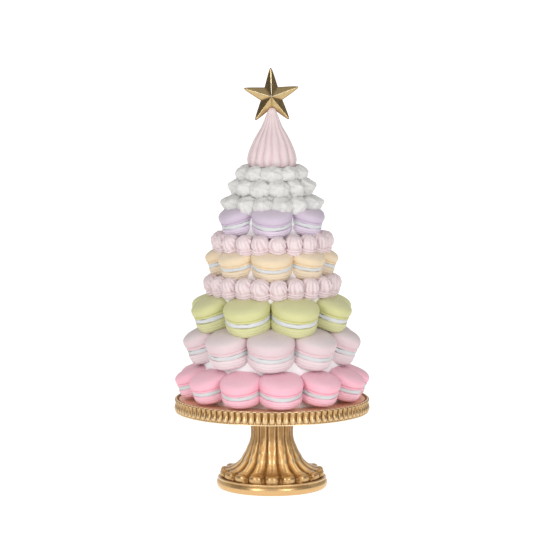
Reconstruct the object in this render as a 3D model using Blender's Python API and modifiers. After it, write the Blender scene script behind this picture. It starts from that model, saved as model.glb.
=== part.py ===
"""A macaron tower on a gold cake stand with a star on top, cast in resin and painted.

The tower is a cone of white icing. Five tiers of macarons lean outward round it, with two rings of
piped rosettes between them and three rows of small meringue kisses above. A ribbed icing peak
carries the star. Units are metres, +Z is up, the origin is the centre of the foot on the table, and
the front faces -Y. An azimuth is in degrees round the tower, 0 at the front and positive to the right.
"""

import math
from collections import namedtuple

import bmesh
import bpy
from mathutils import Matrix, Vector

GAP = 0.0003            # clearance between touching pieces
MERGE = 0.00001         # merge distance of the turned shapes
SHARP_ANGLE = 40.0      # degrees, beyond which an edge between two faces shades sharp

# Stand
FOOT_RADIUS = 0.056
FOOT_HEIGHT = 0.011
RIB_COUNT = 18
RIB_STEPS = 3           # facets round one rib
PEDESTAL_TOP = 0.0767
PLATE_RADIUS = 0.0979
PLATE_FLOOR = 0.0893
PLATE_RIM_TOP = 0.0908
PLATE_UNDERSIDE = 0.0770
BEAD_COUNT = 90

# Icing cone and peak
CORE_STEPS = 20
CORE_BOTTOM = PLATE_FLOOR + GAP
CORE_TOP = 0.3245
PEAK_RIBS = 16
PEAK_BOTTOM = CORE_TOP + GAP
PEAK_TOP = 0.3808

# Star
STAR_CENTRE = (-0.0005, 0.0, 0.3915)
STAR_OUTER = 0.0290
STAR_INNER = 0.0117
STAR_DEPTH = 0.0060     # from the middle plane to each face's centre point
STAR_EDGE = 0.0006      # half the thickness of the star's edge
STAR_LEAN = 1.6         # degrees, anticlockwise from the front

# A macaron's outline as fractions: of its radius, and of the height of the layer it belongs to.
# A tier says how many macarons stand in it, the azimuth of the first, the radius of the circle of
# their centres and its height, a macaron's diameter, the heights of its three layers, and the phases
# that spread its sizes and its places
MACARON_STEPS = 12
UPPER_SHELL = ((0.0, 1.0), (0.74, 0.86), (1.0, 0.38))
FILLING_RADIUS = 0.91
LOWER_SHELL = ((0.97, 0.25), (0.84, 1.0), (0.0, 1.0))

Tier = namedtuple("Tier", "name count first ring centre diameter upper filling lower sizes turns colour")
TIERS = (
    Tier("pink", 12, 6.4, 0.0758, 0.1082, 0.0412, 0.0130, 0.0042, 0.0096, 5.12, 0.0, (0.87, 0.42, 0.52)),
    Tier("pale", 9, -1.2, 0.0646, 0.1452, 0.0446, 0.0162, 0.0044, 0.0112, 5.34, 1.61, (0.82, 0.66, 0.71)),
    Tier("green", 8, 22.2, 0.0604, 0.1786, 0.0450, 0.0146, 0.0045, 0.0115, 4.94, 1.39, (0.68, 0.72, 0.33)),
    Tier("cream", 8, -0.3, 0.0446, 0.2294, 0.0400, 0.0125, 0.0036, 0.0108, 5.38, 0.36, (0.85, 0.70, 0.49)),
    Tier("lavender", 6, -0.3, 0.0362, 0.2700, 0.0394, 0.0128, 0.0040, 0.0092, 0.41, 0.36, (0.69, 0.56, 0.74)),
)
STACKED = ("pale", "green")     # tiers that settle onto the domes of the tier below
NEAR = 45.0                     # degrees of azimuth within which a dome below can touch
SIZE_SPREAD = 0.05              # how far a macaron's size strays from its tier's
TILT = 20.0                     # degrees outward
TILT_SPREAD = 2.5               # degrees
TILT_PHASE = 1.2                # sets the leans apart from the places
TURN_SPREAD = 2.0               # degrees of azimuth

# Rings of piped pieces: the circle of their bases and its height, the width, height and outward lean
# of one piece, the sloping floor that cuts their undersides (its radius, height and slope), and the
# level ceiling that cuts their tops
Ring = namedtuple("Ring", "name count first ring base width height tilt floor ceiling")
ROSETTE_RINGS = (
    Ring("rosettes_lower", 22, 6.0, 0.0606, 0.1950, 0.0196, 0.0190, 0.0, (0.0664, 0.1958, -0.22), 0.2200),
    Ring("rosettes_upper", 20, 5.9, 0.0526, 0.2390, 0.0190, 0.0168, 0.0, (0.0497, 0.2435, -0.51), 0.2600),
)
KISS_RINGS = (
    Ring("kisses_lower", 14, 13.0, 0.0348, 0.2850, 0.0204, 0.0176, 78.0, (0.0400, 0.2760, 0.0), 0.2959),
    Ring("kisses_middle", 12, 10.9, 0.0310, 0.3010, 0.0208, 0.0141, 76.0, (0.0350, 0.2962, 0.0), 0.3113),
    Ring("kisses_upper", 10, -1.6, 0.0270, 0.3152, 0.0212, 0.0106, 76.0, (0.0300, 0.3116, 0.0), 0.3255),
)
# Outlines of one rosette and one kiss from the tip down: radius over half the width, height over the
# height, and depth of the grooves over half the width
ROSETTE_RIBS = 4
ROSETTE_OUTLINE = ((0.0, 1.0, 0.0), (0.80, 0.72, 0.16), (1.0, 0.30, 0.12), (0.80, 0.0, 0.0),
                   (0.0, 0.0, 0.0))
KISS_RIBS = 4
KISS_OUTLINE = ((0.0, 1.0, 0.0), (1.0, 0.42, 0.12), (0.94, 0.0, 0.0), (0.0, 0.0, 0.0))

# Turned outlines from the top down: radius, height, and how deep a groove cuts in between the ribs
PEDESTAL_OUTLINE = (
    (0.0, PEDESTAL_TOP, 0.0),
    (0.0222, PEDESTAL_TOP, 0.0020),
    (0.0213, 0.0523, 0.0024),
    (0.0244, 0.0421, 0.0030),
    (0.0300, 0.0309, 0.0040),
    (0.0370, 0.0246, 0.0048),
    (0.0445, 0.0158, 0.0050),
    (0.0480, 0.0172, 0.0058),
    (0.0503, 0.0130, 0.0068),
    (0.0498, FOOT_HEIGHT + 0.0001, 0.0060),
    (0.0540, 0.0097, 0.0),
    (FOOT_RADIUS, FOOT_HEIGHT / 2, 0.0),
    (0.0525, 0.0, 0.0),
    (0.0, 0.0, 0.0),
)
PLATE_OUTLINE = (
    (0.0, PLATE_FLOOR, 0.0),
    (0.0950, PLATE_FLOOR, 0.0),
    (0.0972, PLATE_RIM_TOP, 0.0),
    (0.0971, 0.0880, 0.0010),
    (PLATE_RADIUS, 0.0818, 0.0020),
    (0.0960, PLATE_UNDERSIDE, 0.0014),
    (0.0, PLATE_UNDERSIDE, 0.0),
)
CONE_OUTLINE = (
    (0.0, CORE_TOP),
    (0.0240, CORE_TOP),
    (0.0365, 0.2760),
    (0.0330, 0.2660),
    (0.0410, 0.2360),
    (0.0490, 0.2070),
    (0.0600, 0.1540),
    (0.0680, 0.1180),
    (0.0695, CORE_BOTTOM),
    (0.0, CORE_BOTTOM),
)
PEAK_OUTLINE = (
    (0.0, PEAK_TOP, 0.0),
    (0.0034, 0.3790, 0.0002),
    (0.0056, 0.3749, 0.0006),
    (0.0106, 0.3626, 0.0010),
    (0.0178, 0.3502, 0.0018),
    (0.0234, 0.3379, 0.0024),
    (0.0250, 0.3297, 0.0026),
    (0.0240, PEAK_BOTTOM, 0.0024),
    (0.0, PEAK_BOTTOM, 0.0),
)

GOLD = (0.56, 0.35, 0.12)
OLD_GOLD = (0.42, 0.31, 0.13)
ICING_WHITE = (0.80, 0.81, 0.80)
ICING_PINK = (0.80, 0.64, 0.67)
MERINGUE = (0.68, 0.69, 0.67)


def make_material(name, colour, roughness=0.45, metallic=0.0):
    """One Principled surface of a plain colour."""
    material = bpy.data.materials.new(name)
    material.use_nodes = True
    shader = material.node_tree.nodes["Principled BSDF"]
    shader.inputs["Base Color"].default_value = (*colour, 1.0)
    shader.inputs["Roughness"].default_value = roughness
    shader.inputs["Metallic"].default_value = metallic
    return material


def remove_object(obj):
    """Delete an object together with its mesh."""
    mesh = obj.data
    bpy.data.objects.remove(obj)
    bpy.data.meshes.remove(mesh)


def evaluated_mesh(obj):
    """The object's mesh with its modifiers applied, as a new mesh."""
    graph = bpy.context.evaluated_depsgraph_get()
    return bpy.data.meshes.new_from_object(obj.evaluated_get(graph))


def turned_mesh(outline, steps):
    """Spin an outline of radii and heights, given from the top down, round the Z axis."""
    line = bpy.data.meshes.new("outline")
    points = [(point[0], 0.0, point[1]) for point in outline]
    line.from_pydata(points, [(i, i + 1) for i in range(len(points) - 1)], [])
    profile = bpy.data.objects.new("outline", line)
    bpy.context.scene.collection.objects.link(profile)
    screw = profile.modifiers.new("Turn", "SCREW")
    screw.steps = steps
    screw.render_steps = steps
    screw.use_merge_vertices = True
    screw.merge_threshold = MERGE
    screw.use_smooth_shade = True
    mesh = evaluated_mesh(profile)
    remove_object(profile)
    return mesh


def fluted_mesh(outline, ribs, steps_per_rib):
    """A turned mesh with convex ribs between sharp grooves, as deep as each outline point says."""
    mesh = turned_mesh(outline, ribs * steps_per_rib)
    ring_of = {(round(point[0], 6), round(point[1], 6)): point for point in outline}
    for vertex in mesh.vertices:
        radius = math.hypot(vertex.co.x, vertex.co.y)
        point = ring_of[round(radius, 6), round(vertex.co.z, 6)]
        angle = math.atan2(vertex.co.y, vertex.co.x)
        inset = point[2] * (1 - abs(math.sin(ribs * angle / 2)))
        vertex.co.x = (radius - inset) * math.cos(angle)
        vertex.co.y = (radius - inset) * math.sin(angle)
    return mesh


def add_piece(name, mesh, material, collection):
    """Put a mesh in the collection as a named object of one material."""
    mesh.name = name
    mesh.materials.clear()
    mesh.materials.append(material)
    mesh.set_sharp_from_angle(angle=math.radians(SHARP_ANGLE))
    obj = bpy.data.objects.new(name, mesh)
    collection.objects.link(obj)
    return obj


def add_cutter(name, mesh, place, collection):
    """Put a mesh in the hidden cutters' collection at a placement."""
    obj = bpy.data.objects.new(name, mesh)
    obj.matrix_world = place
    obj.hide_render = True
    obj.display_type = "WIRE"
    collection.objects.link(obj)
    return obj


def subtract(obj, cutters):
    """Cut the object by each of the cutters."""
    for cutter in cutters:
        cut = obj.modifiers.new("Cut", "BOOLEAN")
        cut.operation = "DIFFERENCE"
        cut.object = cutter


def azimuth_turn(azimuth):
    """Rotation that carries +X to an azimuth measured from the front, -Y."""
    return Matrix.Rotation(math.radians(azimuth - 90.0), 4, "Z")


def leaning(ring, height, tilt):
    """Stand a piece on a ring round the tower, on the +X side, and lean it outward."""
    return Matrix.Translation((ring, 0.0, height)) @ Matrix.Rotation(math.radians(tilt), 4, "Y")


def wave(index, phase):
    """A repeatable value between -1 and 1 for each index."""
    return math.sin(2.4 * index + phase) * math.cos(1.1 * index * index + 3.0 * phase)


def cone_radius(height):
    """Radius of the icing cone at a height."""
    for (high_r, high), (low_r, low) in zip(CONE_OUTLINE[1:-1], CONE_OUTLINE[2:-1]):
        if low <= height <= high:
            return low_r + (high_r - low_r) * (height - low) / (high - low)
    return CONE_OUTLINE[1][0] if height > CORE_TOP else CONE_OUTLINE[-2][0]


def trim(mesh, point, normal, close=True):
    """Cut a closed mesh flat along a plane, and drop the side that the normal points to."""
    work = bmesh.new()
    work.from_mesh(mesh)
    everything = work.verts[:] + work.edges[:] + work.faces[:]
    cut = bmesh.ops.bisect_plane(work, geom=everything, dist=MERGE, plane_co=point, plane_no=normal,
                                 clear_outer=True)
    loop = [item for item in cut["geom_cut"] if isinstance(item, bmesh.types.BMEdge)]
    if loop and close:
        bmesh.ops.contextual_create(work, geom=loop)
        bmesh.ops.recalc_face_normals(work, faces=work.faces[:])
    work.to_mesh(mesh)
    work.free()


def trim_to_cone(mesh):
    """Cut off flat what of a piece, still at azimuth 90, lies inside the icing cone."""
    heights = [vertex.co.z for vertex in mesh.vertices]
    low, high = min(heights), max(heights)
    slope = (cone_radius(high) - cone_radius(low)) / (high - low)
    levels = [low, high] + [height for _, height in CONE_OUTLINE if low < height < high]
    reach = max(cone_radius(level) - slope * (level - low) for level in levels) + GAP
    trim(mesh, Vector((reach, 0, low)), Vector((-1, 0, slope)).normalized())


def macaron_outline(tier):
    """Radius and height of a macaron from the top of its dome to its base, centred on its filling."""
    radius = tier.diameter / 2
    half = tier.filling / 2
    upper = [(radius * r, half + tier.upper * h) for r, h in UPPER_SHELL]
    filling = [(radius * FILLING_RADIUS, half), (radius * FILLING_RADIUS, -half)]
    lower = [(radius * r, -half - tier.lower * h) for r, h in LOWER_SHELL]
    return upper + filling + lower


def add_tier(tier, below, tower, cutters):
    """Make one ring of macarons, cut clear of the icing, of each other and of the tier below."""
    material = make_material(tier.name, tier.colour)
    base = turned_mesh(macaron_outline(tier), MACARON_STEPS)
    indices = range(tier.count)
    azimuths = [tier.first + 360.0 / tier.count * i + TURN_SPREAD * wave(i, tier.turns) for i in indices]
    sizes = [1 + SIZE_SPREAD * wave(i, tier.sizes) for i in indices]
    whole_macarons = []
    for i, azimuth in enumerate(azimuths):
        tilt = TILT + TILT_SPREAD * wave(i, tier.turns + TILT_PHASE)
        place = leaning(tier.ring, tier.centre, tilt) @ Matrix.Scale(sizes[i], 4)
        mesh = base.copy()
        mesh.transform(place)
        trim_to_cone(mesh)
        for side in (1, -1):
            other = (i + side) % tier.count
            share = sizes[i] / (sizes[i] + sizes[other])
            reach = (azimuths[other] - azimuth) * side % 360.0 * share
            normal = azimuth_turn(90.0 + side * reach) @ Vector((0, side, 0))
            trim(mesh, -normal * GAP / 2, normal)
        mesh.transform(azimuth_turn(azimuth))
        macaron = add_piece(f"macaron_{tier.name}_{i + 1:02d}", mesh, material, tower)
        near = [cutter for angle, cutter in below if abs((angle - azimuth + 180) % 360 - 180) < NEAR]
        subtract(macaron, near)
        grown = azimuth_turn(azimuth) @ place @ Matrix.Scale(1 + 2 * GAP / tier.lower, 4)
        whole = add_cutter(f"clear_{tier.name}_{i + 1:02d}", base, grown, cutters)
        whole_macarons.append((azimuth, whole))
    return whole_macarons


def add_ring(ring, outline, ribs, material, tower):
    """Make a ring of equal piped pieces, grown together where they meet, as one solid."""
    half = ring.width / 2
    sized = [(r * half, h * ring.height, depth * half) for r, h, depth in outline]
    mesh = fluted_mesh(sized, ribs, 2)
    mesh.transform(leaning(ring.ring, ring.base, ring.tilt) @ Matrix.Rotation(math.pi / ribs, 4, "Z"))
    trim_to_cone(mesh)
    floor_radius, floor_height, slope = ring.floor
    trim(mesh, Vector((floor_radius, 0, floor_height)), Vector((slope, 0, -1)).normalized())
    trim(mesh, Vector((0, 0, ring.ceiling)), Vector((0, 0, 1)))
    half_angle = 180.0 / ring.count
    for side in (1, -1):
        normal = azimuth_turn(90.0 + side * half_angle) @ Vector((0, side, 0))
        trim(mesh, Vector((0, 0, 0)), normal, close=False)
    work = bmesh.new()
    for i in range(ring.count):
        piece = mesh.copy()
        piece.transform(azimuth_turn(ring.first + 2 * half_angle * i))
        work.from_mesh(piece)
        bpy.data.meshes.remove(piece)
    bmesh.ops.remove_doubles(work, verts=work.verts[:], dist=MERGE)
    bmesh.ops.recalc_face_normals(work, faces=work.faces[:])
    work.to_mesh(mesh)
    work.free()
    return add_piece(ring.name, mesh, material, tower)


def add_star(tower, cutter):
    """A five-pointed star with a raised ridge along each point, the same in front and behind."""
    work = bmesh.new()
    bmesh.ops.create_cone(work, cap_ends=False, segments=10, radius1=STAR_OUTER, radius2=0.0,
                          depth=STAR_DEPTH)
    for vertex in work.verts:
        if vertex.co.to_2d().length < STAR_INNER:
            vertex.co = (0.0, 0.0, STAR_DEPTH)
            continue
        vertex.co.z = STAR_EDGE
        if round(math.degrees(math.atan2(vertex.co.y, vertex.co.x)) - 90.0) % 72:
            vertex.co.xy *= STAR_INNER / STAR_OUTER
    edge = bmesh.ops.extrude_edge_only(work, edges=[e for e in work.edges if e.is_boundary])
    for item in edge["geom"]:
        if isinstance(item, bmesh.types.BMVert):
            item.co.z = 0.0
    bmesh.ops.recalc_face_normals(work, faces=work.faces[:])
    mesh = bpy.data.meshes.new("star")
    work.to_mesh(mesh)
    work.free()
    star = add_piece("star", mesh, make_material("old_gold", OLD_GOLD, 0.35, 1.0), tower)
    mirror = star.modifiers.new("Back", "MIRROR")
    mirror.use_axis = (False, False, True)
    mirror.merge_threshold = MERGE
    star.location = STAR_CENTRE
    star.rotation_euler = (math.radians(90), math.radians(-STAR_LEAN), 0.0)
    cut = star.modifiers.new("Notch", "BOOLEAN")
    cut.operation = "DIFFERENCE"
    cut.object = cutter


def main():
    for obj in list(bpy.data.objects):
        bpy.data.objects.remove(obj)
    tower = bpy.data.collections.new("macaron_tower")
    cutters = bpy.data.collections.new("cutters")
    bpy.context.scene.collection.children.link(tower)
    bpy.context.scene.collection.children.link(cutters)

    gold = make_material("gold", GOLD, 0.35, 1.0)
    white = make_material("icing_white", ICING_WHITE, 0.5)
    pink = make_material("icing_pink", ICING_PINK, 0.5)
    meringue = make_material("meringue", MERINGUE, 0.6)

    add_piece("stand_pedestal", fluted_mesh(PEDESTAL_OUTLINE, RIB_COUNT, RIB_STEPS), gold, tower)
    add_piece("stand_plate", fluted_mesh(PLATE_OUTLINE, BEAD_COUNT, 2), gold, tower)
    add_piece("icing_cone", turned_mesh(CONE_OUTLINE, CORE_STEPS), white, tower)
    add_piece("icing_peak", fluted_mesh(PEAK_OUTLINE, PEAK_RIBS, 2), pink, tower)

    below = []
    for tier in TIERS:
        below = add_tier(tier, below if tier.name in STACKED else [], tower, cutters)

    for ring in ROSETTE_RINGS:
        add_ring(ring, ROSETTE_OUTLINE, ROSETTE_RIBS, pink, tower)
    kiss_rows = [add_ring(ring, KISS_OUTLINE, KISS_RIBS, meringue, tower) for ring in KISS_RINGS]
    subtract(kiss_rows[0], [cutter for _, cutter in below])

    tip = [(r + GAP, h + GAP) if r else (0.0, h + GAP) for r, h, _ in PEAK_OUTLINE[:4]]
    tip_mesh = turned_mesh(tip + [(0.0, tip[-1][1])], PEAK_RIBS // 2)
    add_star(tower, add_cutter("clear_peak", tip_mesh, Matrix.Identity(4), cutters))


main()
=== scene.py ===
# %% [markdown]
# # A macaron tower on a gold stand
#
# The real object is a table decoration, cast in resin and painted: tiers of macarons and rings of
# piped icing round a white cone, on a fluted gold cake stand, with a gold star on top. The packed
# solids say where every piece is. This script gives each of them its fine shape and its paint.

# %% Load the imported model
import math
from collections import namedtuple

import bmesh
import bpy
import numpy as np
from mathutils import Matrix, Vector


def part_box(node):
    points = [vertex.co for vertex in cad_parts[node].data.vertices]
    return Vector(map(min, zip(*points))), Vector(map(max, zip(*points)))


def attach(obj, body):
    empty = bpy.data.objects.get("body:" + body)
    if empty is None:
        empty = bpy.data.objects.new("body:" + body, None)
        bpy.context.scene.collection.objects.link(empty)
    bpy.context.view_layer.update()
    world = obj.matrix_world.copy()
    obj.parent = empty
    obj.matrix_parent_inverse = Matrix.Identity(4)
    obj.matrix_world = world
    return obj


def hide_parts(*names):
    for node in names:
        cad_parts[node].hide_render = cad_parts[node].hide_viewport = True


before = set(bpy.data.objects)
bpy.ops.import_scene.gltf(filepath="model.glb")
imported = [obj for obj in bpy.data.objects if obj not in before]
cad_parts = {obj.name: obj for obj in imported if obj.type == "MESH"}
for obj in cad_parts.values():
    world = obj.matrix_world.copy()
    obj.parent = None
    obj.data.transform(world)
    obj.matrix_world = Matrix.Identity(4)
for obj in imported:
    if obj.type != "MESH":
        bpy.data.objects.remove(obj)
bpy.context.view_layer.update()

print("nodes:", len(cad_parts))

# %% [markdown]
# ## Helpers for node trees
#
# Materials and Geometry Nodes are both trees of nodes. One helper adds a node, sets its options and
# feeds its inputs, so that a tree reads as a list of steps.

# %% Helpers that add and feed nodes


def feed(tree, node, inputs):
    """Feed a node's inputs: a socket is linked, a plain value is set."""
    for key, value in inputs.items():
        if isinstance(value, bpy.types.NodeSocket):
            tree.links.new(value, node.inputs[key])
        else:
            node.inputs[key].default_value = value


def add_node(tree, kind, inputs=None, **options):
    """Add a node, set its options and feed its inputs."""
    made = tree.nodes.new(kind)
    for name, value in options.items():
        setattr(made, name, value)
    feed(tree, made, inputs or {})
    return made


def maths(tree, operation, *values, clamp=False):
    """A Math node's result."""
    return add_node(tree, "ShaderNodeMath", dict(enumerate(values)), operation=operation,
                    use_clamp=clamp).outputs[0]


print("helpers for nodes ready")

# %% [markdown]
# ## Turned shapes
#
# Most pieces here started on a lathe or out of a piping bag, so they are rings of points, one above
# the other. A Screw modifier could turn a plain profile, but ribs, ridges and hollows need a radius
# that changes round the piece as well. So a grid of radii and heights is worked out with NumPy, and
# one helper makes it a closed mesh.

# %% A closed mesh from rings of radii and heights


def angles_round(steps):
    """Angles of the points of one ring."""
    return np.arange(steps) * (2 * np.pi / steps)


def ringed_mesh(name, radii, heights, marks=None):
    """Close rings of points into one mesh. The first and last rings are poles. Heights and marks
    may be one to a ring; marks are named values, kept as attributes for the materials to read."""
    radii, heights = np.broadcast_arrays(radii, heights)
    rings, steps = radii.shape
    angles = angles_round(steps)
    points = np.stack([radii * np.cos(angles), radii * np.sin(angles), heights], axis=-1)
    inner = points[1:-1].reshape(-1, 3)
    vertices = np.vstack([points[0].mean(0), inner, points[-1].mean(0)])
    faces = []
    for ring in range(rings - 3):
        low, high = 1 + ring * steps, 1 + (ring + 1) * steps
        faces += [(low + i, high + i, high + (i + 1) % steps, low + (i + 1) % steps) for i in range(steps)]
    first, last = 1, 1 + (rings - 3) * steps
    bottom = len(vertices) - 1
    faces += [(0, first + i, first + (i + 1) % steps) for i in range(steps)]
    faces += [(bottom, last + (i + 1) % steps, last + i) for i in range(steps)]
    mesh = bpy.data.meshes.new(name)
    mesh.from_pydata(vertices.tolist(), [], faces)
    for mark, values in (marks or {}).items():
        values = np.broadcast_to(values, radii.shape)
        flat = np.concatenate([[values[0].mean()], values[1:-1].ravel(), [values[-1].mean()]])
        mesh.attributes.new(mark, "FLOAT", "POINT").data.foreach_set("value", flat.astype(np.float32))
    mesh.shade_smooth()
    return mesh


print("degrees between 72 points:", round(math.degrees(angles_round(72)[1]), 1))

# %% Curves, waves and marks


def smooth_curve(points, count):
    """Many points along a smooth line through a few (a Catmull-Rom curve), evenly spread."""
    points = np.array(points, float)
    padded = np.vstack([2 * points[0] - points[1], points, 2 * points[-1] - points[-2]])
    line = []
    for a, b, c, d in zip(padded, padded[1:], padded[2:], padded[3:]):
        t = np.linspace(0, 1, 24, endpoint=False)[:, None]
        line.append(0.5 * (2 * b + (c - a) * t + (2 * a - 5 * b + 4 * c - d) * t ** 2
                           + (3 * b - a - 3 * c + d) * t ** 3))
    line = np.vstack(line + [points[-1:]])
    along = np.concatenate([[0], np.cumsum(np.linalg.norm(np.diff(line, axis=0), axis=1))])
    wanted = np.linspace(0, along[-1], count)
    return np.stack([np.interp(wanted, along, line[:, k]) for k in range(line.shape[1])], axis=1)


def wavering(angles, seed, waves=6):
    """A smooth uneven value round a ring, roughly between -1 and 1, the same for the same seed."""
    draw = np.random.default_rng(seed)
    total = np.zeros_like(angles)
    for wave in range(2, 2 + waves):
        total = total + draw.normal() / wave * np.cos(wave * angles + draw.uniform(0, 2 * np.pi))
    return total / 1.2


def columns(line):
    """The columns of an outline, each ready to be spread round a ring."""
    return [line[:, k:k + 1] for k in range(line.shape[1])]


def near(values, middle, width):
    """1 where the values reach the middle, falling smoothly to almost 0 two widths away."""
    return np.exp(-((values - middle) / width) ** 2)


def ramp(values, start, length):
    """0 at the start, 1 a length away from it, even between; the length may be negative."""
    return np.clip((values - start) / length, 0, 1)


print("two widths away, near has fallen to", round(float(near(2.0, 0.0, 1.0)), 3))

# %% [markdown]
# ## One ring of copies, by Geometry Nodes
#
# Macarons, rosettes, kisses and the plate's tongues all stand in rings. One Geometry Nodes tree
# places them: the object's own mesh is the piece to copy, and the sockets say how many there are,
# how wide and high the ring is and how far each piece leans out. Sizes, leans and places stray by
# the rule that the solids follow, so each copy lies where its solid is. Noise then pushes the
# surface in and out a little, so no two copies are alike.

# %% Sizes that the ring tree takes
SOCKETS = (
    ("Count", "Int", 12), ("First azimuth", "Float", 0.0), ("Ring radius", "Float", 0.05),
    ("Ring height", "Float", 0.1), ("Lean", "Float", 0.0), ("Size spread", "Float", 0.0),
    ("Lean spread", "Float", 0.0), ("Turn spread", "Float", 0.0), ("Size phase", "Float", 0.0),
    ("Turn phase", "Float", 0.0), ("Spin", "Float", 0.0), ("Unevenness", "Float", 0.0),
    ("Bump size", "Float", 0.01), ("Seed", "Int", 1), ("Material", "Material", None),
)
LEAN_PHASE = 1.2        # sets the leans apart from the places
FRONT = -90.0           # degrees from +X to the front, azimuth 0
print("sockets:", len(SOCKETS))

# %% Steps that the tree uses


def wave_field(tree, index, phase):
    """sin(2.4 i + phase) cos(1.1 i^2 + 3 phase), the rule that the solids' unevenness follows."""
    first = maths(tree, "MULTIPLY_ADD", index, 2.4, phase)
    square = maths(tree, "MULTIPLY", index, index)
    second = maths(tree, "MULTIPLY_ADD", square, 1.1, maths(tree, "MULTIPLY", phase, 3.0))
    return maths(tree, "MULTIPLY", maths(tree, "SINE", first), maths(tree, "COSINE", second))


def turn_about(tree, axis, angle):
    """A rotation by an angle field about one axis."""
    return add_node(tree, "FunctionNodeAxisAngleToRotation", {0: axis, 1: angle}).outputs[0]


def then_turn(tree, rotation, more):
    """Turn by a rotation, and then by another about the piece's own axes."""
    return add_node(tree, "FunctionNodeRotateRotation", {0: rotation, 1: more},
                    rotation_space="LOCAL").outputs[0]


print("steps of the tree ready")

# %% Build the ring tree


def build_ring_tree():
    """The tree that copies a piece round the tower."""
    tree = bpy.data.node_groups.new("Ring of copies", "GeometryNodeTree")
    tree.interface.new_socket("Geometry", in_out="INPUT", socket_type="NodeSocketGeometry")
    for name, kind, value in SOCKETS:
        socket = tree.interface.new_socket(name, in_out="INPUT", socket_type="NodeSocket" + kind)
        if value is not None:
            socket.default_value = value
    tree.interface.new_socket("Geometry", in_out="OUTPUT", socket_type="NodeSocketGeometry")
    given = add_node(tree, "NodeGroupInput").outputs
    index = add_node(tree, "GeometryNodeInputIndex").outputs[0]

    step = maths(tree, "DIVIDE", 360.0, given["Count"])
    even = maths(tree, "MULTIPLY_ADD", index, step, given["First azimuth"])
    stray = maths(tree, "MULTIPLY", wave_field(tree, index, given["Turn phase"]), given["Turn spread"])
    azimuth = maths(tree, "RADIANS", maths(tree, "ADD", maths(tree, "ADD", even, stray), FRONT))
    place = add_node(tree, "ShaderNodeCombineXYZ", {
        0: maths(tree, "MULTIPLY", maths(tree, "COSINE", azimuth), given["Ring radius"]),
        1: maths(tree, "MULTIPLY", maths(tree, "SINE", azimuth), given["Ring radius"]),
        2: given["Ring height"]}).outputs[0]
    points = add_node(tree, "GeometryNodePoints", {"Count": given["Count"], "Position": place}).outputs[0]

    lean_phase = maths(tree, "ADD", given["Turn phase"], LEAN_PHASE)
    lean = maths(tree, "MULTIPLY_ADD", wave_field(tree, index, lean_phase), given["Lean spread"],
                 given["Lean"])
    draw = add_node(tree, "FunctionNodeRandomValue", {2: -1.0, 3: 1.0, "ID": index, "Seed": given["Seed"]},
                    data_type="FLOAT").outputs[1]
    spin = maths(tree, "RADIANS", maths(tree, "MULTIPLY", draw, given["Spin"]))
    turned = then_turn(tree, turn_about(tree, (0, 0, 1), azimuth),
                       turn_about(tree, (0, 1, 0), maths(tree, "RADIANS", lean)))
    turned = then_turn(tree, turned, turn_about(tree, (0, 0, 1), spin))
    size = maths(tree, "MULTIPLY_ADD", wave_field(tree, index, given["Size phase"]),
                 given["Size spread"], 1.0)
    copies = add_node(tree, "GeometryNodeInstanceOnPoints", {
        "Points": points, "Instance": given["Geometry"], "Rotation": turned, "Scale": size}).outputs[0]
    tinted = add_node(tree, "GeometryNodeStoreNamedAttribute", {
        "Geometry": copies, "Name": "tint", "Value": draw}, data_type="FLOAT", domain="INSTANCE")
    real = add_node(tree, "GeometryNodeRealizeInstances", {"Geometry": tinted.outputs[0]}).outputs[0]

    scale = maths(tree, "DIVIDE", 1.0, given["Bump size"])
    noise = add_node(tree, "ShaderNodeTexNoise", {
        "Vector": add_node(tree, "GeometryNodeInputPosition").outputs[0], "Scale": scale,
        "Detail": 3.0}).outputs[0]
    push = maths(tree, "MULTIPLY", maths(tree, "MULTIPLY_ADD", noise, 2.0, -1.0), given["Unevenness"])
    offset = add_node(tree, "ShaderNodeVectorMath", {
        0: add_node(tree, "GeometryNodeInputNormal").outputs[0], "Scale": push}, operation="SCALE")
    pushed = add_node(tree, "GeometryNodeSetPosition", {"Geometry": real, "Offset": offset.outputs[0]})
    painted = add_node(tree, "GeometryNodeSetMaterial", {
        "Geometry": pushed.outputs[0], "Material": given["Material"]})
    add_node(tree, "NodeGroupOutput", {0: painted.outputs[0]})
    return tree


RING_TREE = build_ring_tree()
RING_IDS = {item.name: item.identifier for item in RING_TREE.interface.items_tree
            if item.in_out == "INPUT"}
print("ring tree:", len(RING_TREE.nodes), "nodes,", len(RING_IDS) - 1, "sizes to set")

# %% [markdown]
# ## Putting a piece in the model
#
# Every piece rides on the root body, takes its paint and hides the solids that it stands for.

# %% Finish a piece, or a whole ring of them


def nodes_like(*starts):
    """Names of the solids that start with one of these words."""
    return sorted(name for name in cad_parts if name.startswith(starts))


def add_object(name, data):
    """Put an object in the scene."""
    made = bpy.data.objects.new(name, data)
    bpy.context.scene.collection.objects.link(made)
    return made


def add_piece(name, mesh, paint, solids):
    """Make an object of a mesh, paint it and hide the solids that it stands for."""
    mesh.name = name
    if paint.name not in mesh.materials:
        mesh.materials.clear()
        mesh.materials.append(paint)
    piece = add_object(name, mesh)
    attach(piece, "root")
    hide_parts(*solids)
    print(f"{name}: {len(mesh.polygons)} faces, for {len(solids)} solids")


def ring_mesh(mesh, paint, values):
    """Copy a mesh round the tower with the ring tree, as one plain mesh."""
    carrier = add_object("ring", mesh)
    modifier = carrier.modifiers.new("Ring", "NODES")
    modifier.node_group = RING_TREE
    for name, value in dict(values, Material=paint).items():
        modifier[RING_IDS[name]] = value
    graph = bpy.context.evaluated_depsgraph_get()
    made = bpy.data.meshes.new_from_object(carrier.evaluated_get(graph), preserve_all_data_layers=True,
                                           depsgraph=graph)
    bpy.data.objects.remove(carrier)
    return made
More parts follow.
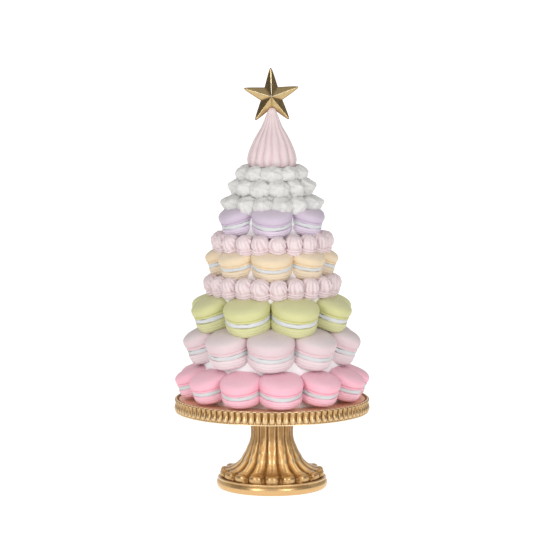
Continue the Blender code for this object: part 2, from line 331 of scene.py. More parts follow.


# %% [markdown]
# ## Paint
#
# The whole tower is painted resin. Its colours are soft and a little uneven, and the surface is satin
# with a fine orange peel. One material builder makes every food colour from two tones: the open tone,
# and a deeper tone of painted shade for creases and edges that lie in shade. The painted shade comes
# from an attribute of the mesh, so it stays on the shape, and the unevenness comes from noise on
# Object coordinates.

# %% Food paint


def attribute(tree, name):
    """A named value that the mesh carries."""
    return add_node(tree, "ShaderNodeAttribute", attribute_name=name).outputs["Fac"]


def noise_at(tree, scale, detail=2.0):
    """Noise on Object coordinates, from 0 to 1; scale is in cells per metre."""
    where = add_node(tree, "ShaderNodeTexCoord").outputs["Object"]
    return add_node(tree, "ShaderNodeTexNoise", {
        "Vector": where, "Scale": scale, "Detail": detail}).outputs[0]


def noise_between(tree, low, high, scale, detail=2.0):
    """The same noise, but between two other values."""
    return maths(tree, "MULTIPLY_ADD", noise_at(tree, scale, detail), high - low, low)


def mix_colours(tree, factor, first, second):
    """Blend two colours."""
    return add_node(tree, "ShaderNodeMix", {0: factor, 6: first, 7: second},
                    data_type="RGBA").outputs[2]


def new_paint(name):
    """An empty material with its Principled surface."""
    paint = bpy.data.materials.new(name)
    paint.use_nodes = True
    return paint, paint.node_tree, paint.node_tree.nodes["Principled BSDF"]


TINT = 0.012            # how much lighter or darker a copy may be


def food_paint(name, tone, painted_shade_tone, mottle=0.05, peel=0.25, grain=0.0, roughness=0.5):
    """Satin paint: tone on the open surface and a second, deeper tone, a painted shade, where the mesh
    marks a crease or an edge in shade. mottle is how uneven the colour is, peel how strong the bumps are
    and grain the share of fine ones."""
    paint, tree, surface = new_paint(name)
    # painted shade: the second tone, where the mesh marks a crease or an edge that lies in shade
    painted_shade = maths(tree, "MULTIPLY", attribute(tree, "painted_shade"), noise_between(tree, 0.6, 1.2, 180),
                   clamp=True)
    colour = mix_colours(tree, painted_shade, (*tone, 1), (*painted_shade_tone, 1))
    broad = noise_between(tree, 1 - mottle, 1 + mottle, 70, 3)
    fine = noise_between(tree, 1 - mottle / 2, 1 + mottle / 2, 1400)
    value = maths(tree, "MULTIPLY", broad, fine)
    value = maths(tree, "MULTIPLY_ADD", attribute(tree, "tint"), TINT, value)
    # painted light: the lower shells are lighter, as if lit from below, by their own mark
    value = maths(tree, "ADD", attribute(tree, "underside_painted_light"), value)
    colour = add_node(tree, "ShaderNodeHueSaturation", {"Value": value, "Color": colour}).outputs[0]
    rough = noise_between(tree, roughness - 0.07, roughness + 0.07, 400)
    height = maths(tree, "MULTIPLY_ADD", noise_at(tree, 2600), grain, noise_at(tree, 900, 3))
    bump = add_node(tree, "ShaderNodeBump", {"Strength": peel, "Distance": 0.0004, "Height": height})
    feed(tree, surface, {"Base Color": colour, "Roughness": rough, "Specular IOR Level": 0.4,
                         "Normal": bump.outputs[0]})
    return paint


# here and below, the open tone of each paint comes first, then its painted shade tone
PAINTS = {
    "pink": food_paint("pink_paint", (0.81, 0.475, 0.55), (0.80, 0.28, 0.38)),
    "pale": food_paint("pale_paint", (0.625, 0.535, 0.545), (0.72, 0.47, 0.51)),
    "green": food_paint("green_paint", (0.575, 0.57, 0.305), (0.48, 0.47, 0.14)),
    "cream": food_paint("cream_paint", (0.705, 0.585, 0.43), (0.70, 0.50, 0.26)),
    "lavender": food_paint("lavender_paint", (0.54, 0.466, 0.545), (0.47, 0.36, 0.50)),
}
FILLING_PAINT = food_paint("filling_paint", (0.58, 0.59, 0.595), (0.52, 0.53, 0.55), mottle=0.10,
                           peel=0.5)
ICING_PAINT = food_paint("icing_paint", (0.84, 0.83, 0.835), (0.52, 0.30, 0.31), peel=0.35)
PIPING_PAINT = food_paint("piping_paint", (0.705, 0.595, 0.605), (0.60, 0.38, 0.40), mottle=0.06,
                          peel=0.3)
PEAK_PAINT = food_paint("peak_paint", (0.69, 0.565, 0.57), (0.62, 0.43, 0.46), mottle=0.06, peel=0.3)
KISS_PAINT = food_paint("kiss_paint", (0.68, 0.67, 0.65), (0.57, 0.55, 0.52), mottle=0.10, peel=0.8,
                        grain=1.2, roughness=0.55)
print("shell paints:", ", ".join(PAINTS))

# %% [markdown]
# ## Antique gold
#
# The stand is painted to look like old gilt metal. It is brown where the wash stays in the hollows
# and where painted shade and painted dark reflections stand for shade, and bright with painted
# highlights where the softboxes would glint. The metal is a metallic Principled surface. Its colour
# goes from brown to gold with the mesh's mark of wash and painted shade, and to bright with its mark
# of painted highlights, each broken up by noise, and a soft bump gives the slightly hammered look of
# a casting.

# %% Gold paint


def gold_paint(name, highlight_colour, gold, brown, metal, roughness, dent):
    """Gilt paint: gold on the open surface, brown where the mesh marks wash and painted shade, and
    bright where it marks painted highlights. metal is how metallic it is and dent how strong its hammered
    look is."""
    paint, tree, surface = new_paint(name)
    # brown for the wash in the hollows and for painted shade and painted dark reflections, as the mesh
    # marks them
    shade_and_wash_amount = maths(tree, "ADD", attribute(tree, "wash_and_shade"), noise_between(tree, -0.35, 0.25, 240, 4))
    shade_and_wash_amount = maths(tree, "MAXIMUM", shade_and_wash_amount, 0.0, clamp=True)
    colour = mix_colours(tree, shade_and_wash_amount, (*gold, 1), (*brown, 1))
    # painted highlights, as the mesh marks them
    highlight_amount = maths(tree, "SUBTRACT", attribute(tree, "painted_highlight"), noise_between(tree, -0.05, 0.35, 400),
                  clamp=True)
    colour = mix_colours(tree, highlight_amount, colour, (*highlight_colour, 1))
    rough = maths(tree, "ADD", noise_between(tree, roughness - 0.06, roughness + 0.06, 350, 3),
                  maths(tree, "MULTIPLY", shade_and_wash_amount, 0.2))
    bump = add_node(tree, "ShaderNodeBump", {
        "Strength": dent, "Distance": 0.0006, "Height": noise_at(tree, 300)})
    feed(tree, surface, {"Base Color": colour, "Metallic": metal, "Roughness": rough,
                         "Normal": bump.outputs[0]})
    return paint


# each gold: the painted highlight colour, the open gold, and the brown of the wash and painted shade
STAND_GOLD = gold_paint("stand_gold_paint", (0.99, 0.82, 0.54), (0.66, 0.435, 0.205), (0.26, 0.12, 0.03),
                        metal=0.82, roughness=0.29, dent=0.04)
STAR_GOLD = gold_paint("star_gold_paint", (1.0, 0.94, 0.80), (0.60, 0.455, 0.225), (0.25, 0.13, 0.045),
                       metal=1.0, roughness=0.24, dent=0.20)
# the plate's inside: a reddish painted reflection of the pink macarons in the gold
PLATE_PINK_REFLECTION = gold_paint("plate_floor_reflection_paint", (0.98, 0.74, 0.52), (0.92, 0.50, 0.31), (0.60, 0.27, 0.14),
                        metal=0.35, roughness=0.40, dent=0.30)
print("gold paints:", STAND_GOLD.name, STAR_GOLD.name, PLATE_PINK_REFLECTION.name)

# %% [markdown]
# ## Macarons
#
# A macaron is two shells with a filling between them. The upper shell is a smooth dome that is
# widest two fifths of the way up, draws in to a crease and ends in a ruffled foot. The lower shell
# is lower and stands on its flat side, with thin ridges round it. Each layer is a turned shape of its
# own, because the filling needs its own paint and shows a real gap of shadow above and below.

# %% Where each tier of macarons stands
# first is the azimuth of the first one, ring the radius of the ring and centre the height of the
# fillings. Then come a macaron's diameter and the heights of its three layers, and the phases of
# the uneven sizes and places.
Tier = namedtuple("Tier", "name count first ring centre diameter upper filling lower sizes turns")
TIERS = (
    Tier("pink", 12, 6.4, 0.0758, 0.1082, 0.0412, 0.0130, 0.0042, 0.0096, 5.12, 0.0),
    Tier("pale", 9, -1.2, 0.0646, 0.1452, 0.0446, 0.0168, 0.0044, 0.0112, 5.34, 1.61),
    Tier("green", 8, 22.2, 0.0604, 0.1786, 0.0450, 0.0146, 0.0045, 0.0115, 4.94, 1.39),
    Tier("cream", 8, -0.3, 0.0446, 0.2294, 0.0400, 0.0125, 0.0036, 0.0108, 5.38, 0.36),
    Tier("lavender", 6, -0.3, 0.0362, 0.2700, 0.0394, 0.0128, 0.0040, 0.0092, 0.41, 0.36),
)
SPREADS = {"Size spread": 0.05, "Lean": 20.0, "Lean spread": 2.5, "Turn spread": 2.0}
MACARON_STEPS = 72
FULL = 1.025            # how much wider a macaron is than its solid, so that neighbours meet
WIDEST = 0.40           # height of a dome's widest ring, over the dome's height
CREASE = 0.16           # height of the crease above the foot, over the dome's height
# painted light: how much paler a tier's lower shells are than its upper ones, as if lit from below;
# below 0 they are darker
UNDERSIDE_PAINTED_LIGHT = {"pink": 0.04, "pale": 0.11, "green": -0.02, "cream": -0.02, "lavender": 0.20}
for tier in TIERS:
    solids = nodes_like("macaron_" + tier.name)

# %% The upper shell


def dome_rings(radius, base, height):
    """Radii, heights and painted shade marks of the upper shell, from its top to the middle of its base."""
    turn = np.linspace(np.pi / 2, 0, 22)[:, None]
    dome_r = np.cos(turn) ** (2 / 2.9)
    dome_h = WIDEST + (1 - WIDEST) * np.sin(turn) ** (2 / 2.6)
    under = smooth_curve([(1.0, WIDEST), (0.997, 0.31), (0.982, CREASE + 0.045), (0.948, CREASE),
                          (0.968, 0.115), (0.978, 0.065), (0.970, 0.015), (0.93, 0.0)], 20)[1:]
    inside = np.array([(0.75, 0.0), (0.4, 0.0), (0.0, 0.0)])
    reach, up = columns(np.vstack([np.hstack([dome_r, dome_h]), under, inside]))
    # painted shade on the widest ring and in the crease above the foot
    painted_shade = 0.30 * near(reach, 1.0, 0.075) + near(up, CREASE, 0.035)
    angles = angles_round(MACARON_STEPS)
    ruffle = 0.009 * near(up, 0.05, 0.06) * wavering(angles * 3, 3, 9)
    swell = 0.010 * wavering(angles, 5) * np.minimum(reach, 1.0)
    radii = radius * (reach + ruffle + swell) * (reach > 0)
    return radii, base + height * up, painted_shade


print("rings in a dome:", len(dome_rings(1.0, 0.0, 1.0)[0]))

# %% The lower shell


def lower_rings(radius, top, height):
    """Radii, heights and painted shade marks of the lower shell, from the middle of its top to its base."""
    wall = smooth_curve([(0.93, 0.0), (0.976, 0.02), (0.986, 0.10), (0.984, 0.32), (0.968, 0.56),
                         (0.936, 0.76), (0.888, 0.91), (0.81, 0.99), (0.70, 1.0)], 36)
    reach, depth = columns(np.vstack([[(0.0, 0.0), (0.5, 0.0)], wall, [(0.4, 1.0), (0.0, 1.0)]]))
    angles = angles_round(MACARON_STEPS)
    lines = depth * 4.2 + 0.22 * wavering(angles * 2, 11, 5)
    groove = np.cos(lines * 2 * np.pi) * np.clip(1.2 - abs(depth - 0.42) * 1.9, 0, 1)
    rough = wavering(angles * 3, 17, 10) * np.clip(1 - depth, 0, 1)
    radii = radius * (reach + (reach > 0.6) * (0.009 * groove + 0.005 * rough))
    # painted shade in the grooves and where the shell meets the filling
    painted_shade = np.clip(-groove, 0, 1) * 0.15 + 0.5 * near(depth, 0.0, 0.04)
    return radii, top - height * depth, painted_shade


print("rings in a lower shell:", len(lower_rings(1.0, 0.0, 1.0)[0]))

# %% The filling


def filling_rings(radius, half):
    """Radii, heights and painted shade marks of the filling, a squeezed disc with an uneven edge."""
    edge = smooth_curve([(0.90, 1.0), (0.945, 0.93), (0.966, 0.5), (0.972, 0.0), (0.966, -0.5),
                         (0.945, -0.93), (0.90, -1.0)], 13)
    reach, side = columns(np.vstack([[(0.0, 1.0), (0.5, 1.0)], edge, [(0.5, -1.0), (0.0, -1.0)]]))
    out = reach > 0.6
    angles = angles_round(MACARON_STEPS)
    edges = 0.010 * wavering(angles * 3, 23, 9) + 0.006 * wavering(angles, 29)
    thickness = half * (1.10 + 0.22 * wavering(angles * 2, 27, 10))
    sag = 0.16 * half * wavering(angles * 2, 33, 8)
    # painted shadow along its top and bottom edges, under and over the shells
    painted_shade = np.clip(abs(side) * 1.8 - 1.0, 0, 1)
    return radius * (reach + out * edges), thickness * side + sag * out, painted_shade


print("rings in a filling:", len(filling_rings(1.0, 1.0)[0]))

# %% Make the tiers
UNEVEN = {"Unevenness": 0.0006, "Bump size": 0.016, "Spin": 180.0}


def joined_mesh(name, meshes):
    """Several meshes as one, with their marks."""
    work = bmesh.new()
    for mesh in meshes:
        work.from_mesh(mesh)
        bpy.data.meshes.remove(mesh)
    joined = bpy.data.meshes.new(name)
    work.to_mesh(joined)
    work.free()
    joined.shade_smooth()
    return joined


for number, tier in enumerate(TIERS):
    paint = PAINTS[tier.name]
    radius = FULL * tier.diameter / 2
    half = tier.filling / 2
    rings = {"Count": tier.count, "First azimuth": tier.first, "Ring height": tier.centre,
             "Ring radius": tier.ring + tier.diameter / 2 - radius, "Size phase": tier.sizes,
             "Turn phase": tier.turns, "Seed": number + 1, **SPREADS, **UNEVEN}
    shells = []
    # the lower shells carry their tier's painted light from below
    for underside_painted_light, (radii, heights, painted_shade) in (
            (0.0, dome_rings(radius, half, tier.upper)),
            (UNDERSIDE_PAINTED_LIGHT[tier.name], lower_rings(radius, -half, tier.lower))):
        shells.append(ringed_mesh("shell", radii, heights, {"painted_shade": painted_shade, "underside_painted_light": underside_painted_light}))
    solids = nodes_like("macaron_" + tier.name)
    add_piece(f"{tier.name}_shells", ring_mesh(joined_mesh("shells", shells), paint, rings), paint,
              solids)
    radii, heights, painted_shade = filling_rings(radius, half)
    filling = ringed_mesh("filling", radii, heights, {"painted_shade": painted_shade})
    add_piece(f"{tier.name}_fillings", ring_mesh(filling, FILLING_PAINT, rings),
              FILLING_PAINT, solids)

# %% [markdown]
# ## Icing cone
#
# Behind the macarons is a cone of white icing, spread on with a knife. Only patches of it show, so
# it is a turned shape with broad strokes. Behind the two rings of rosettes it is painted pinkish and
# darker, a painted shade for the gaps between them.

# %% Make the cone
CONE_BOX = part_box("icing_cone")
CONE_OUTLINE = ((0.0200, 0.3180), (0.0300, 0.3000), (0.0375, 0.2800), (0.0414, 0.2710), (0.0418, 0.2610),
                (0.0440, 0.2500), (0.0495, 0.2370), (0.0526, 0.2250), (0.0532, 0.2130), (0.0575, 0.2020),
                (0.0610, 0.1940), (0.0575, 0.1850), (0.0575, 0.1700), (0.0620, 0.1500), (0.0690, 0.1320),
                (0.0705, 0.1180), (0.0715, CONE_BOX[0].z))
ROSETTE_BANDS = (0.2060, 0.2480)        # heights on the cone that are behind the rosettes
BAND_WIDTH = 0.008


def spread_icing():
    """The cone with strokes of the knife round it."""
    reach, up = columns(smooth_curve(CONE_OUTLINE, 150))
    angles = angles_round(160)
    strokes = np.sin(up * 900 + 3 * wavering(angles, 31)) * (0.5 + 0.5 * wavering(angles * 2, 37))
    radii = reach - 0.0006 + 0.0004 * strokes + 0.0005 * wavering(angles * 3, 41)
    pole = np.zeros((1, len(angles)))
    up = np.vstack([up[:1], up, up[-1:]])
    # painted shade: pinkish and darker on the bands behind the rosettes
    shade_behind_rosettes = sum(near(up, band, BAND_WIDTH) for band in ROSETTE_BANDS)
    return ringed_mesh("cone", np.vstack([pole, radii, pole]), up, {"painted_shade": 0.9 * shade_behind_rosettes})


add_piece("icing_cone_spread", spread_icing(), ICING_PAINT, ["icing_cone"])

# %% [markdown]
# ## Piped rosettes
#
# A rosette is squeezed from a star-shaped tip against the sloping cone: first two thin loops, then a
# rounded heap, which leaves soft uneven ridges. Its axis leans outwards with the slope, so the edges
# of the loops show as arcs from the front. Every copy is turned by its own angle, so the ridges of
# one shape look different each time.

# %% The rosettes' sizes
# first is the azimuth of the first one; ring and base are the radius and height that they stand on
Ring = namedtuple("Ring", "name count first ring base width height")
ROSETTE_RINGS = (Ring("rosettes_lower", 22, 6.0, 0.0562, 0.1986, 0.0200, 0.0178),
                 Ring("rosettes_upper", 20, 5.9, 0.0490, 0.2408, 0.0194, 0.0174))
ROSETTE_STEPS = 80
ROSETTE_RIDGES = 10
ROSETTE_LEAN = 24.0     # degrees outward
LOOP_EDGES = (0.325, 0.18, 0.04)        # where a loop ends, over the rosette's height
print("rosettes:", sum(ring.count for ring in ROSETTE_RINGS))

# %% Make the rosettes


def rosette(width, height, seed):
    """One piped rosette: thin loops at the foot and a ridged heap above."""
    reach, up = columns(smooth_curve([
        (0.0, 1.0), (0.28, 0.985), (0.53, 0.94), (0.74, 0.85), (0.88, 0.72), (0.96, 0.57),
        (0.97, 0.46), (0.94, 0.38), (0.885, 0.325), (0.97, 0.305), (1.01, 0.26), (1.00, 0.21),
        (0.91, 0.18), (0.99, 0.16), (1.02, 0.115), (1.00, 0.07), (0.90, 0.04), (0.95, 0.02),
        (0.94, -0.03), (0.84, -0.07), (0.5, -0.09), (0.0, -0.09)], 54))
    angles = angles_round(ROSETTE_STEPS)
    twist = (0.6 * wavering(angles, seed + 4) - 0.7) * (1 - np.clip(up, 0, 1)) ** 1.2
    lobes = abs(np.sin(ROSETTE_RIDGES / 2 * (angles + twist) + 1.6 * wavering(angles, seed)))
    pull = ramp(up, 0.27, 0.12) * np.clip(reach * 1.8, 0, 1)
    deep = np.clip(0.15 + 0.12 * wavering(angles, seed + 2), 0.04, 0.32)
    swell = 0.05 * wavering(angles, seed + 1) + 0.02 * wavering(angles * 3, seed + 3) * (up < 0.3)
    radii = width / 2 * reach * (1 - deep * pull * (1 - lobes ** 0.8) + swell)
    # painted shade between the ridges and along the edge of each loop
    painted_shade = np.clip((1 - lobes) * 1.3 - 0.5, 0, 1) * pull * deep / 0.2
    for edge in LOOP_EDGES:
        painted_shade = painted_shade + 0.8 * near(up, edge, 0.018) * (reach > 0.8)
    return ringed_mesh("rosette", radii, height * up, {"painted_shade": painted_shade})


for number, ring in enumerate(ROSETTE_RINGS):
    values = {"Count": ring.count, "First azimuth": ring.first, "Ring radius": ring.ring,
              "Ring height": ring.base, "Size spread": 0.05, "Lean": ROSETTE_LEAN, "Lean spread": 6.0,
              "Turn spread": 0.6, "Size phase": 1.3, "Turn phase": 0.7, "Spin": 180.0,
              "Unevenness": 0.0010, "Bump size": 0.0050, "Seed": 20 + number}
    piped = ring_mesh(rosette(ring.width, ring.height, 51 + number), PIPING_PAINT, values)
    add_piece("piped_" + ring.name, piped, PIPING_PAINT, [ring.name])

# %% [markdown]
# ## Meringue kisses
#
# Three rows of small meringues point outwards above the macarons. They run into each other: a bulging
# bed fills what lies between them, so only their blunt tips and a few small dark holes tell them
# apart. Each is a wide blob with soft twisted ridges, and the surface is grainy.

# %% The kisses' sizes
# squash is a kiss's thickness over its width; the rest is as for the rosettes
Row = namedtuple("Row", "name count first ring base width height squash")
KISS_ROWS = (Row("kisses_lower", 14, 13.0, 0.0344, 0.2834, 0.0226, 0.0182, 0.94),
             Row("kisses_middle", 12, 10.9, 0.0304, 0.3004, 0.0230, 0.0152, 0.86),
             Row("kisses_upper", 10, -1.6, 0.0258, 0.3146, 0.0236, 0.0122, 0.76))
BED_OUTLINE = ((0.0, 0.3222), (0.0246, 0.3222), (0.0284, 0.3190), (0.0306, 0.3146), (0.0310, 0.3100),
               (0.0334, 0.3060), (0.0356, 0.3004), (0.0359, 0.2940), (0.0380, 0.2895), (0.0405, 0.2834),
               (0.0400, 0.2780), (0.0374, 0.2745), (0.0, 0.2740))
KISS_STEPS = 60
KISS_RIDGES = 6
KISS_LEAN = 77.0        # degrees outward, so they point a little up from level
print("kisses:", sum(row.count for row in KISS_ROWS))

# %% Make the kisses


def kiss(width, height, squash, seed):
    """One meringue kiss with its tip up."""
    reach, up = columns(smooth_curve([
        (0.0, 1.0), (0.14, 0.985), (0.26, 0.935), (0.44, 0.825), (0.65, 0.69), (0.83, 0.56),
        (0.95, 0.43), (1.0, 0.30), (0.99, 0.16), (0.93, 0.02), (0.8, -0.10), (0.5, -0.19),
        (0.0, -0.22)], 42))
    angles = angles_round(KISS_STEPS)
    twist = 1.1 * (1 - np.clip(up, 0, 1))
    lobes = abs(np.sin(KISS_RIDGES / 2 * (angles + twist) + 0.6 * wavering(angles, seed)))
    depth = 0.13 * np.clip(reach * 2.5, 0, 1)
    radii = width / 2 * reach * (1 - depth * (1 - lobes) + 0.05 * wavering(angles, seed + 1))
    # painted shade between the ridges
    painted_shade = np.clip((1 - lobes) * 1.5 - 0.8, 0, 1) * 0.4 * np.clip(reach * 2, 0, 1)
    mesh = ringed_mesh("kiss", radii, height * up, {"painted_shade": painted_shade})
    mesh.transform(Matrix.Diagonal((squash, 1, 1, 1)))
    return mesh


def lumpy_bed():
    """The meringue between the kisses."""
    line = smooth_curve(BED_OUTLINE[1:-1], 60)
    reach, up = columns(np.vstack([BED_OUTLINE[0], line, BED_OUTLINE[-1]]))
    angles = angles_round(180)
    lumps = wavering(angles * 5 + up * 400, 61, 9) * (reach > 0)
    return ringed_mesh("bed", reach + 0.0008 * lumps, up, {"painted_shade": 0.0})


add_piece("meringue_bed", lumpy_bed(), KISS_PAINT, nodes_like("kisses"))
for number, ring in enumerate(KISS_ROWS):
    values = {"Count": ring.count, "First azimuth": ring.first, "Ring radius": ring.ring,
              "Ring height": ring.base, "Size spread": 0.05, "Lean": KISS_LEAN, "Lean spread": 4.0,
              "Turn spread": 1.2, "Size phase": 2.1, "Turn phase": 0.4, "Spin": 24.0,
              "Unevenness": 0.0009, "Bump size": 0.0045, "Seed": 30 + number}
    row = ring_mesh(kiss(ring.width, ring.height, ring.squash, 71 + number), KISS_PAINT, values)
    add_piece("meringue_" + ring.name, row, KISS_PAINT, [ring.name])

# %% [markdown]
# ## Icing peak
#
# The top is one large swirl, pulled straight up. It has sixteen rounded ribs that start wide at the
# bottom and melt together towards the tip. Its outline is a curve through a few measured radii.

# %% Make the peak
PEAK_RIBS = 16
PEAK_TOP = 0.3808
PEAK_OUTLINE = ((0.0, PEAK_TOP), (0.0022, 0.3803), (0.0040, 0.3785), (0.0052, 0.3749), (0.0069, 0.3708),
                (0.0103, 0.3626), (0.0152, 0.3544), (0.0197, 0.3461), (0.0232, 0.3379), (0.0249, 0.3310),
                (0.0250, 0.3280), (0.0245, 0.3250), (0.0236, 0.3226), (0.0, 0.3226))


def pulled_peak():
    """The ribbed swirl under the star."""
    reach, up = columns(np.vstack([smooth_curve(PEAK_OUTLINE[:-1], 110), PEAK_OUTLINE[-1]]))
    angles = angles_round(PEAK_RIBS * 14)
    bend = 0.045 * wavering(angles, 91) + 0.02 * np.sin(up * 260 + 5 * wavering(angles, 95))
    lobes = abs(np.sin(PEAK_RIBS / 2 * (angles + bend)))
    full = ramp(reach, 0.004, 0.014)
    depth = (0.0003 + 0.0017 * full) * (reach > 0.002)
    waver = 0.0003 * wavering(angles * 3, 93) * full
    radii = reach - depth * (1 - lobes ** 0.85) + waver
    # painted shade between the ribs
    painted_shade = np.clip((1 - lobes) * 1.1 - 0.3, 0, 1) * np.clip(full * 1.3, 0, 1)
    return ringed_mesh("peak", radii, up, {"painted_shade": painted_shade})


add_piece("icing_peak_swirl", pulled_peak(), PEAK_PAINT, ["icing_peak"])

# %% [markdown]
# ## Star
#
# The star is a casting with a raised ridge along each point and a valley between points. A star is
# a pyramid: from its middle the height falls evenly to the outline, whatever the direction. So it is
# made like the turned pieces, only its outline isn't a circle but ten straight sides. The outline's
# corners are rounded twice: hardly at all for the ridges and valleys, which stay crisp, and more for
# the tips, which are blunt and brown.

# %% The star's outline
STAR_CENTRE = Vector((-0.0005, 0.0, 0.3915))
STAR_CORNER = np.radians(36)    # from a tip to the valley beside it
STAR_OUTER = 0.0330     # of the sharp outline; rounding takes 4.6 mm off the tips
STAR_INNER = 0.0113
STAR_DEPTH = 0.0060
STAR_EDGE = 0.0008
STAR_LEAN = 1.6         # degrees, anticlockwise from the front
RIDGE_SOFT = 0.003      # how far the ridges are rounded
TIP_SOFT = 0.026        # and the tips, which are blunter
TIP_DARK = 0.0264       # beyond this radius the tips are brown


def star_outline(angles, soft):
    """Distance from the middle to the star's edge, and the angle from the nearest ridge over 36 degrees."""
    turn = np.arccos((1 - soft) * np.cos(5 * (angles - np.pi / 2))) / np.pi
    reach = STAR_OUTER * STAR_INNER * np.sin(STAR_CORNER) / (
        STAR_OUTER * np.sin(turn * STAR_CORNER) + STAR_INNER * np.sin((1 - turn) * STAR_CORNER))
    return reach, turn


print("a tip is", round(1000 * float(star_outline(np.pi / 2, TIP_SOFT)[0]), 1), "mm from the middle")

# %% Make the star


def cast_star():
    """Both faces of the star, with marks for the painted highlights on its ridges and for its darker
    parts: painted shade in the valleys, a painted dark reflection round the rim and brown tips.
    """
    rows = list(np.linspace(0, 0.955, 26)) + [0.9555]      # the close pair keeps the bevel's edge crisp
    slope = [(t, STAR_EDGE + STAR_DEPTH * (1 - t)) for t in rows]
    edge = smooth_curve([slope[-1], (0.980, STAR_EDGE + 0.00005), (0.994, 0.0006), (1.0, 0.0)], 8)[1:]
    front = np.vstack([slope, edge])
    back = front[::-1][1:] * (1, -1)
    share, height = columns(np.vstack([front, back]))
    angles = angles_round(300)
    reach, turn = star_outline(angles, RIDGE_SOFT)
    radii = np.minimum(share * reach, star_outline(angles, TIP_SOFT)[0])
    away = radii * np.sin(STAR_CORNER * turn)
    # painted light: the painted highlight fades on the lower ridges, which face the light less
    upright = np.clip(0.45 + 0.75 * np.sin(angles), 0.1, 1)         # the lower ridges are duller
    tip = ramp(radii, TIP_DARK, 0.0006)
    # painted highlight along each ridge, painted shade in the valleys and a painted dark reflection on the
    # rim's bevel
    painted_highlight = near(away, 0.0, 0.0004) * ramp(share, 0.93, -0.1) * upright * (1 - tip)
    valley_shade = near((1 - turn) * radii, 0.0, 0.0016)
    wash_and_shade = 0.22 + 0.5 * valley_shade + 0.8 * ramp(share, 0.90, 0.06) + 0.9 * tip
    mesh = ringed_mesh("star", radii, height, {"painted_highlight": painted_highlight, "wash_and_shade": np.clip(wash_and_shade, 0, 1)})
    lean = Matrix.Rotation(math.radians(-STAR_LEAN), 4, "Y")
    mesh.transform(Matrix.Translation(STAR_CENTRE) @ lean @ Matrix.Rotation(math.radians(90), 4, "X"))
    return mesh


add_piece("cast_star", cast_star(), STAR_GOLD, ["star"])

# %% [markdown]
# ## Plate
#
# The plate is a shallow disc whose rim is set with tongues all the way round: each has a small round
# head that reaches over the lip, a waist and a full belly. Thin pointed darts stand between the
# bellies. The disc is turned, a thin uneven skin on it carries its inside's reddish painted reflection
# of the pink macarons, and one tongue and one dart are copied by the ring tree.

# %% The disc of the plate
PLATE_FLOOR = 0.0893
PLATE_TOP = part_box("stand_plate")[1].z
PLATE_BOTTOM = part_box("stand_plate")[0].z
PLATE_WALL = 0.0952     # radius of the wall that the tongues stand against
TONGUES = 90
PLATE_STEPS = 240


def turned_plate():
    """The disc, its lip and its underside."""
    line = np.vstack([[(0.0, PLATE_FLOOR), (0.04, PLATE_FLOOR)], smooth_curve([
        (0.0900, PLATE_FLOOR), (0.0938, PLATE_FLOOR + 0.0001), (0.0950, PLATE_FLOOR + 0.0008),
        (0.0955, PLATE_TOP - 0.0002), (0.0960, PLATE_TOP), (0.0966, PLATE_TOP - 0.0002),
        (0.0966, PLATE_TOP - 0.0008), (0.0956, PLATE_TOP - 0.0013), (PLATE_WALL, 0.0865),
        (PLATE_WALL, 0.0810), (0.0954, PLATE_BOTTOM + 0.0018), (0.0965, PLATE_BOTTOM + 0.0012),
        (0.0968, PLATE_BOTTOM + 0.0005), (0.0958, PLATE_BOTTOM), (0.0900, PLATE_BOTTOM)], 66),
        [(0.02, PLATE_BOTTOM), (0.0, PLATE_BOTTOM)]])
    radius, height = columns(line)
    # painted shade on the wall behind the tongues, a painted highlight on the lip, and painted light on the
    # underside, so that the pedestal's flare, which mirrors it, looks brighter
    wall = (height < PLATE_TOP - 0.0014) & (height > PLATE_BOTTOM + 0.0016) & (radius > 0.0945)
    underside = (height < PLATE_BOTTOM + 0.0004) & (radius < 0.093)
    painted_highlight = 0.9 * (radius > 0.0960) + 0.8 * underside
    return ringed_mesh("plate", np.repeat(radius, PLATE_STEPS, axis=1), height, {
        "wash_and_shade": wall, "painted_highlight": painted_highlight})


print("the plate is", round(1000 * (PLATE_TOP - PLATE_BOTTOM), 1), "mm thick")

# %% Its tongues and darts
RIM_BASE = PLATE_BOTTOM + 0.0009
RIM_ROUND = 2.6         # 2 is an ellipse seen from above, and more is squarer
TONGUE = ((0.0, 1.0, 0.0), (0.50, 0.99, 0.50), (0.78, 0.95, 0.76), (0.86, 0.885, 0.88),
          (0.82, 0.81, 0.76), (0.80, 0.74, 0.56), (0.84, 0.63, 0.56), (0.92, 0.48, 0.70),
          (0.98, 0.30, 0.98), (0.96, 0.18, 0.94), (0.78, 0.07, 0.66), (0.42, 0.015, 0.3),
          (0.0, 0.0, 0.0))
DART = ((0.0, 1.0, 0.0), (0.35, 0.8, 0.45), (0.75, 0.5, 0.8), (1.0, 0.25, 1.0), (0.8, 0.06, 0.7),
        (0.0, 0.0, 0.0))


def rim_piece(name, profile, half_width, depth, tall):
    """A piece of the rim, standing on its base. profile: (width, height, depth) fractions."""
    width, up, thickness = columns(smooth_curve(profile, 22))
    angles = angles_round(20)
    front = np.cos(angles)
    wide = np.maximum(width * half_width, 1e-6)
    deep = np.maximum(thickness * depth, 1e-6)
    radii = (abs(front / deep) ** RIM_ROUND + abs(np.sin(angles) / wide) ** RIM_ROUND) ** (-1 / RIM_ROUND)
    return ringed_mesh(name, radii * (width > 0), RIM_BASE + tall * up, {
        # painted shade on the sides of the tongues and darts, where they meet, and a painted highlight on
        # the front of their heads and bellies
        "wash_and_shade": np.clip(0.73 - 0.41 * front, 0.2, 1),
        "painted_highlight": 0.7 * np.clip(front * 1.6 - 0.8, 0, 1) * (thickness > 0.84)})


print("tongues and darts:", 2 * TONGUES)

# %% The reddish inside


